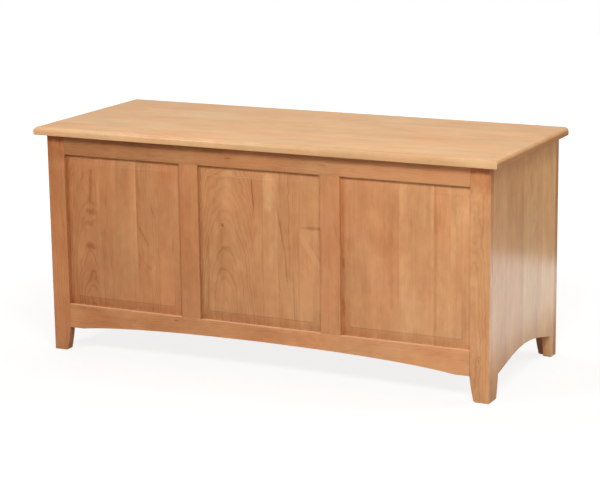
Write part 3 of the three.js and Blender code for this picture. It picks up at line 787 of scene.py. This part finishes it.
# Painted highlight along the left of the lid's front edge, and painted shade along its right
LID_PAINTED_LIGHT_AND_SHADE = [
    Mark(0, -480, 14, 300, -0.35),
    Mark(0, 330, 14, 330, 0.28),
]
BACK_PANEL_BOARDS = [
    Board(96, 0.97, 0.4, 0.45, 30, 0, 0.13),
    Board(205, 1.03, 0.3, 0.2, 260, 30, 0.01),
    Board(312, 0.99, 0.5, 0.45, 250, 5, 0.1),
]
BOTTOM_BOARDS = [
    Board(98, 1.0, 0.4, 0.3, 40, 30, 0.06),
    Board(190, 1.03, 0.3, 0.2, 300, 30, 0.0),
    Board(295, 0.98, 0.4, 0.3, 240, 30, 0.06),
    Board(400, 1.0, 0.3, 0.2, -50, 40, 0.01),
]
PLAIN_BOARD = Board(0, 0.97, 0.5, 0.35, -70, 20, 0.02)
SINGLE_BOARDS = {
    "front_left_stile": (
        [Board(46, 0.97, 1.0, 0.35, -90, 20, 0.06)],
        [
            Mark(23, 130, 60, 200, -0.2),
            # Painted shadow of the lid across the top of the stile, and painted shade fading below
            # it
            Mark(23, 524, 200, 16, 0.5),
            Mark(23, 503, 200, 38, 0.42),
        ],
    ),
    "front_mid_stile_left": ([Board(48, 0.96, 0.85, 0.15, 120, 20, 0.03)], []),
    "front_mid_stile_right": (
        [Board(48, 0.93, 0.65, 0.15, -160, 20, 0.02)],
        [Mark(24, 150, 60, 170, -0.25)],
    ),
    "front_right_stile": (
        [Board(46, 1.17, 0.05, 0.35, 8, -10, 0.09)],
        [
            Mark(30, 428, 2, 50, 0.3),
            # Painted shadow of the lid across the top of the stile, and painted shade fading below
            # it
            Mark(23, 524, 200, 14, 0.75),
            Mark(23, 500, 200, 38, 0.45),
        ],
    ),
    "front_top_rail": (
        [Board(46, 0.87, 0.5, 0.25, -60, 20, 0.02)],
        [
            Mark(22, 162, 2, 12, 0.35),
            Mark(21, -74, 2, 10, 0.5),
            # Darker left part, partly figure and partly painted shade; paler right part, painted
            # light
            Mark(23, -420, 90, 300, 0.22),
            Mark(23, 420, 90, 220, -0.3),
            # Painted shadow of the lid along the rail's top edge
            Mark(47, 0, 12, 1500, 0.4),
        ],
    ),
    "front_bottom_rail": (
        [Board(58, 1.1, 0.6, 0.2, -80, 20, 0.02)],
        [
            Mark(52, -477, 1.5, 11, 0.7),
            Mark(48, -220, 1.5, 6, 0.9),
            # Paler right part: painted light
            Mark(29, 430, 120, 320, -0.28),
            # Painted highlight along the rail's top edge below each opening
            *[Mark(58, along, 2, 200, -0.9) for along in (-358, 0, 358)],
        ],
    ),
}

# Slotted brass wood screws in mm: rings of the head and shank from the top down as radius and
# depth, the ring on which the slot's floor lies, the slot's half width, the points of an arc,
# the turn from one screw to the next, and how far a head stands proud of wood or plate
SCREW_RINGS = [(3.2, 0.0), (3.3, 0.08), (2.7, 0.55), (1.7, 1.33), (1.7, 4.0)]
SLOT_FLOOR_RING = 2
SLOT_HALF = 0.35
ARC_POINTS = 11
SCREW_TURN = math.radians(47)
HEAD_PROUD = 0.25

# Screw places in mm, from the same sizes as the pieces that they hold. On a hinge: half the
# gap between the leaves, the row's distance in front of the pin, and each screw's shift along
# the row and across it. On battens and cleats: shares of their length. On the stays: the
# plates' thickness, the circle of a stud's screws, and a bracket's screws from the middle of
# the chest and of the bracket. The scales are against a hinge's screws.
LEAF_GAP_HALF = 0.35
LEAF_ROW = 10.25
LEAF_SCREWS = [(-22, 1.5), (0, -3), (22, 1.5)]
BATTEN_SHARES = (0.07, 0.35, 0.65, 0.93)
LONG_CLEAT_SHARES = (0.09, 0.295, 0.5, 0.705, 0.91)
SHORT_CLEAT_SHARES = (0.15, 0.5, 0.85)
STAY_PLATE = 2
STUD_SCREW_RADIUS = 8.6
STUD_SCREW_TURNS = (90, 210, 330)
BRACKET_SCREW_X = 521.5
BRACKET_SCREW_REACH = 15
WOOD_SCREW_SCALE = 1.3
STAY_SCREW_SCALE = 0.75

# Cleats under the bottom: their side, the axis along them, the way that their inner face looks
# and their screws
CLEATS = (
    ("front", 0, 1, LONG_CLEAT_SHARES),
    ("back", 0, -1, LONG_CLEAT_SHARES),
    ("left", 1, 1, SHORT_CLEAT_SHARES),
    ("right", 1, -1, SHORT_CLEAT_SHARES),
)


def assign(node, material):
    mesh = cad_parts[node].data
    mesh.materials.clear()
    mesh.materials.append(material)


def is_metal(node):
    return node.endswith(("_pin", "_leaf", "_stud", "_arm", "_rivet", "_bracket"))


def grain_axes(node):
    """Axis along the grain and axis across the boards of a wooden piece."""
    if node in ("lid", "bottom_board"):
        return "x", "y"
    if node.endswith("_rail") or node in ("bottom_cleat_front", "bottom_cleat_back"):
        return "x", "z"
    if node.startswith(("lid_batten", "bottom_cleat")):
        return "y", "x"
    if node in ("left_side", "right_side"):
        return "z", "y"
    return "z", "x"


def boards_of(node, width):
    """Boards and marks of a wooden piece, with the inset where its boards start to count."""
    if node in PANEL_BOARDS:
        return (*PANEL_BOARDS[node], PANEL_TONGUE)
    if node.startswith("back_panel"):
        return BACK_PANEL_BOARDS, [], PANEL_TONGUE
    if node in ("left_side", "right_side"):
        return SIDE_BOARDS, SIDE_PAINTED_SHADOW, 0.0
    if node == "lid":
        return LID_BOARDS, LID_PAINTED_LIGHT_AND_SHADE, 0.0
    if node == "bottom_board":
        return BOTTOM_BOARDS, [], 0.0
    if node in SINGLE_BOARDS:
        return (*SINGLE_BOARDS[node], 0.0)
    return [replace(PLAIN_BOARD, end=width / MM)], [], 0.0


def finish_of(node):
    if node.startswith("bottom_"):
        return RAW
    if node.startswith("lid"):
        return LID_SATIN_PAINTED_SHEEN
    if node.startswith("front_panel"):
        return RAISED
    if node.endswith("_side"):
        return SIDE
    if node in ("front_left_stile", "front_mid_stile_left"):
        return PAINTED_EDGE_SHADE_STILE
    return PAINTED_LEDGE_LIGHT_RAIL if node == "front_bottom_rail" else LACQUERED


def dress_wood():
    make_grain_group()
    make_mark_group()
    for index, node in enumerate(sorted(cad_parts)):
        if is_metal(node):
            continue
        grain, across = grain_axes(node)
        low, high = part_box(node)
        axis = AXES.index(across)
        boards, marks, inset = boards_of(node, high[axis] - low[axis])
        origin = list(low)
        origin[axis] += inset
        finish = finish_of(node)
        seed = (FIRST_SEED + index) * PIECE_SEED_STEP
        assign(node, wood_material(node, grain, across, origin, boards, marks, finish, seed))


def dress_metal():
    brass = brass_material()
    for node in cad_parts:
        if is_metal(node):
            assign(node, brass)
    return brass


def add_screw(shape, place, out, turn, scale):
    """Adds one slotted countersunk screw whose head's top lies at a place and looks out."""
    facing = Vector(out).to_track_quat("Z", "Y").to_matrix().to_4x4()
    spin = Matrix.Rotation(turn, 4, "Z")
    to_world = Matrix.Translation(Vector(place) * MM) @ facing @ spin @ Matrix.Scale(scale * MM, 4)

    def arc(radius, depth, side):
        reach = math.acos(SLOT_HALF / radius)
        angles = [reach * (2 * i / (ARC_POINTS - 1) - 1) for i in range(ARC_POINTS)]
        points = [(side * radius * math.cos(a), radius * math.sin(a), -depth) for a in angles]
        return [shape.verts.new(to_world @ Vector(point)) for point in points]

    rings = [(arc(radius, depth, 1), arc(radius, depth, -1)) for radius, depth in SCREW_RINGS]
    for upper, lower in zip(rings, rings[1:]):
        for above, below in zip(upper, lower):
            for i in range(ARC_POINTS - 1):
                shape.faces.new((above[i], above[i + 1], below[i + 1], below[i]))
    for upper, lower in zip(rings[SLOT_FLOOR_RING:], rings[SLOT_FLOOR_RING + 1:]):
        for end in (0, -1):
            shape.faces.new((upper[0][end], upper[1][end], lower[1][end], lower[0][end]))
    for half in (0, 1):
        cut = [ring[half] for ring in rings[:SLOT_FLOOR_RING + 1]]
        shape.faces.new(cut[0])
        shape.faces.new([points[0] for points in cut] + [points[-1] for points in reversed(cut)])
    right, left = rings[SLOT_FLOOR_RING]
    shape.faces.new((right[0], right[-1], left[-1], left[0]))
    right, left = rings[-1]
    shape.faces.new(right + left[::-1])


def add_screws(name, body, brass, places, scale=1.0):
    """One object of alike screws; places holds where each head's top lies and where it looks."""
    shape = bmesh.new()
    for index, (place, out) in enumerate(places):
        add_screw(shape, place, out, SCREW_TURN * index, scale)
    bmesh.ops.recalc_face_normals(shape, faces=shape.faces)
    for face in shape.faces:
        face.smooth = True
    for edge in shape.edges:
        edge.smooth = edge.calc_face_angle() < SHARP_ANGLE
    mesh = bpy.data.meshes.new(name)
    shape.to_mesh(mesh)
    shape.free()
    mesh.materials.append(brass)
    screws = bpy.data.objects.new(name, mesh)
    bpy.context.scene.collection.objects.link(screws)
    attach(screws, body)


def box_mm(node):
    low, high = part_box(node)
    return [value / MM for value in low], [value / MM for value in high]


def middle_of(node):
    return [(a + b) / 2 for a, b in zip(*box_mm(node))]


def hinge_screws(up):
    """Screws of the leaves on one side of the hinge pins, their heads towards the other side."""
    places = []
    for hinge in ("left", "middle", "right"):
        x, y, z = middle_of(f"{hinge}_hinge_pin")
        for offset, stagger in LEAF_SCREWS:
            place = (x + offset, y - LEAF_ROW + stagger, z + up * LEAF_GAP_HALF)
            places.append((place, (0, 0, -up)))
    return places


def batten_screws():
    places = []
    for batten in ("left", "middle", "right"):
        low, high = box_mm(f"lid_batten_{batten}")
        for share in BATTEN_SHARES:
            y = low[1] + share * (high[1] - low[1])
            places.append((((low[0] + high[0]) / 2, y, low[2] - HEAD_PROUD), (0, 0, -1)))
    return places


def cleat_screws():
    """Screws through the inner faces of the four cleats under the bottom."""
    places = []
    for side, along, inward, shares in CLEATS:
        low, high = box_mm(f"bottom_cleat_{side}")
        across = 1 - along
        for share in shares:
            place = middle_of(f"bottom_cleat_{side}")
            place[along] = low[along] + share * (high[along] - low[along])
            place[across] = (high if inward > 0 else low)[across] + inward * HEAD_PROUD
            out = [0, 0, 0]
            out[across] = inward
            places.append((place, out))
    return places


def stud_screws():
    """Three screws round each stud, through its plate into the side."""
    places = []
    for side, inward in (("left", 1), ("right", -1)):
        low, high = box_mm(f"{side}_stay_stud")
        _, y, z = middle_of(f"{side}_stay_stud")
        wall = low[0] if inward > 0 else high[0]
        for turn in STUD_SCREW_TURNS:
            reach = [STUD_SCREW_RADIUS * part(math.radians(turn)) for part in (math.cos, math.sin)]
            place = (wall + inward * (STAY_PLATE + HEAD_PROUD), y + reach[0], z + reach[1])
            places.append((place, (inward, 0, 0)))
    return places


def bracket_screws():
    """Two screws through each stay bracket's plate, up into the lid."""
    places = []
    for side, sign in (("left", -1), ("right", 1)):
        high = box_mm(f"{side}_stay_bracket")[1]
        y = middle_of(f"{side}_stay_bracket")[1]
        for reach in (-BRACKET_SCREW_REACH, BRACKET_SCREW_REACH):
            place = (sign * BRACKET_SCREW_X, y + reach, high[2] - STAY_PLATE - HEAD_PROUD)
            places.append((place, (0, 0, -1)))
    return places


def add_all_screws(brass):
    add_screws("hinge_screws_case", "case", brass, hinge_screws(-1))
    add_screws("hinge_screws_lid", "lid", brass, hinge_screws(1))
    add_screws("batten_screws", "lid", brass, batten_screws(), WOOD_SCREW_SCALE)
    add_screws("cleat_screws", "case", brass, cleat_screws(), WOOD_SCREW_SCALE)
    add_screws("stud_screws", "case", brass, stud_screws(), STAY_SCREW_SCALE)
    add_screws("bracket_screws", "lid", brass, bracket_screws(), STAY_SCREW_SCALE)


def make_smoothing():
    """Geometry nodes that drop a mesh's stored normals and keep its sharp edges sharp."""
    tree = bpy.data.node_groups.new("smooth_by_angle", "GeometryNodeTree")
    tree.interface.new_socket("Geometry", in_out="INPUT", socket_type="NodeSocketGeometry")
    tree.interface.new_socket("Geometry", in_out="OUTPUT", socket_type="NodeSocketGeometry")
    graph = Graph(tree)
    source = graph.add("NodeGroupInput").outputs[0]
    sink = graph.add("NodeGroupOutput").inputs[0]
    angle = graph.add("GeometryNodeInputMeshEdgeAngle").outputs["Unsigned Angle"]
    sharp = graph.add("FunctionNodeCompare", operation="GREATER_THAN")
    graph.feed(sharp.inputs[0], angle)
    graph.feed(sharp.inputs[1], SHARP_ANGLE)
    normals = graph.add("GeometryNodeSetMeshNormal", mode="SHARPNESS")
    graph.feed(normals.inputs["Mesh"], source)
    graph.feed(normals.inputs["Remove Custom"], True)
    graph.feed(normals.inputs["Edge Sharpness"], sharp.outputs[0])
    graph.feed(sink, normals.outputs[0])
    return tree


def soften(node, width, smoothing):
    """Rounds the sharp edges of a piece a little, as sanding or tumbling leaves them."""
    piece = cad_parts[node]
    weld = piece.modifiers.new("weld", "WELD")
    weld.merge_threshold = WELD_DISTANCE
    flat = piece.modifiers.new("flat", "DECIMATE")
    flat.decimate_type = "DISSOLVE"
    flat.angle_limit = FLAT_ANGLE
    normals = piece.modifiers.new("normals", "NODES")
    normals.node_group = smoothing
    ease = piece.modifiers.new("ease", "BEVEL")
    ease.width = width
    ease.segments = EASE_SEGMENTS
    ease.limit_method = "ANGLE"
    ease.angle_limit = SHARP_ANGLE
    ease.use_clamp_overlap = True
    ease.harden_normals = True


def soften_edges():
    smoothing = make_smoothing()
    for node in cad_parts:
        soften(node, METAL_EASE if is_metal(node) else WOOD_EASE, smoothing)


def add_camera():
    data = bpy.data.cameras.new("camera")
    data.lens = CAMERA_LENS
    data.sensor_width = CAMERA_SENSOR
    camera = bpy.data.objects.new("camera", data)
    bpy.context.scene.collection.objects.link(camera)
    roll = Matrix.Rotation(math.radians(CAMERA_ROLL), 4, "Z")
    aim = Euler((math.radians(90 - CAMERA_PITCH), 0, math.radians(CAMERA_YAW))).to_matrix().to_4x4()
    camera.matrix_world = Matrix.Translation(CAMERA_PLACE) @ aim @ roll
    bpy.context.scene.camera = camera


def add_lamp(name, place, side, power):
    data = bpy.data.lights.new(name, "AREA")
    data.size = side
    data.energy = power
    lamp = bpy.data.objects.new(name, data)
    bpy.context.scene.collection.objects.link(lamp)
    lamp.visible_glossy = name == HIGHLIGHT_LAMP
    lamp.location = place
    lamp.rotation_euler = (Vector(LAMP_TARGET) - Vector(place)).to_track_quat("-Z", "Y").to_euler()


def add_world():
    world = bpy.data.worlds.new("studio")
    world.use_nodes = True
    world.node_tree.nodes.clear()
    graph = Graph(world.node_tree)
    path = graph.add("ShaderNodeLightPath").outputs
    _, y, z = graph.separate(graph.add("ShaderNodeTexCoord").outputs["Generated"])
    fill = graph.blend(graph.step(y, *FILL_TURN), FILL_FRONT, FILL_BACK)
    room = graph.blend(graph.step(z, *ROOM_RISE), ROOM_IN_GLOSS, ROOM_IN_GLOSS_ABOVE)
    in_gloss = graph.math("MAXIMUM", path["Is Glossy Ray"], path["Is Transmission Ray"])
    strength = graph.blend(in_gloss, fill, room)
    background = graph.add("ShaderNodeBackground")
    graph.feed(background.inputs["Color"], WHITE)
    graph.feed(background.inputs["Strength"], graph.math("MAXIMUM", strength, path["Is Camera Ray"]))
    output = graph.add("ShaderNodeOutputWorld")
    graph.feed(output.inputs["Surface"], background.outputs[0])
    bpy.context.scene.world = world


def floor_in_gloss(graph, x, y):
    """How bright the gloss of the chest shows the floor at a place, and the sheet's share."""
    behind = graph.step(y, *SHEET_BACK)
    sheet = graph.math("MULTIPLY", graph.step(x, *SHEET_LEFT), graph.step(y, *SHEET_FRONT))
    sheet = graph.math("MULTIPLY", sheet, graph.math("SUBTRACT", 1.0, behind))
    front = graph.blend(graph.step(x, *FLOOR_RIGHT), FLOOR_IN_GLOSS, FLOOR_IN_GLOSS_RIGHT)
    bare = graph.blend(behind, front, FLOOR_IN_GLOSS_BACK)
    return graph.blend(sheet, bare, SHEET_IN_GLOSS), sheet


def floor_material():
    """Pale paper that keeps the chest's shadow and fades to white away from the chest."""
    material, graph = new_material("studio_floor")
    path = graph.add("ShaderNodeLightPath").outputs
    x, y, _ = graph.separate(graph.add("ShaderNodeTexCoord").outputs["Object"])
    distance = graph.math("SQRT", graph.squares(x, y))
    white = graph.blend(graph.step(distance, *SHOWN_WHITE_REACH), SHOWN_WHITE_NEAR, 1.0)
    shown = graph.math("MULTIPLY", path["Is Camera Ray"], white)
    reflected, sheet = floor_in_gloss(graph, x, y)
    in_gloss = path["Is Glossy Ray"]

    paper = graph.add("ShaderNodeBsdfDiffuse")
    graph.feed(paper.inputs["Color"], FLOOR_COLOR)
    glow = graph.add("ShaderNodeEmission")
    seen_sheet = graph.math("MULTIPLY", in_gloss, sheet)
    graph.feed(glow.inputs["Color"], graph.mix(seen_sheet, WHITE, SHEET_COLOR))
    graph.feed(glow.inputs["Strength"], graph.blend(in_gloss, SHOWN_GLOW, reflected))
    mix = graph.add("ShaderNodeMixShader")
    graph.feed(mix.inputs[0], graph.math("MAXIMUM", shown, in_gloss))
    graph.feed(mix.inputs[1], paper.outputs[0])
    graph.feed(mix.inputs[2], glow.outputs[0])
    finish_material(graph, mix.outputs[0])
    return material


def add_floor():
    mesh = bpy.data.meshes.new("studio_floor")
    corners = [(-1, -1), (1, -1), (1, 1), (-1, 1)]
    mesh.from_pydata([(x * FLOOR_HALF, y * FLOOR_HALF, 0) for x, y in corners], [], [(0, 1, 2, 3)])
    mesh.materials.append(floor_material())
    floor = bpy.data.objects.new("studio_floor", mesh)
    bpy.context.scene.collection.objects.link(floor)


def main():
    bpy.context.scene.view_settings.view_transform = "Standard"
    add_camera()
    for name, (place, side, power) in LAMPS.items():
        add_lamp(name, place, side, power)
    add_world()
    add_floor()
    dress_wood()
    brass = dress_metal()
    soften_edges()
    add_all_screws(brass)


main()
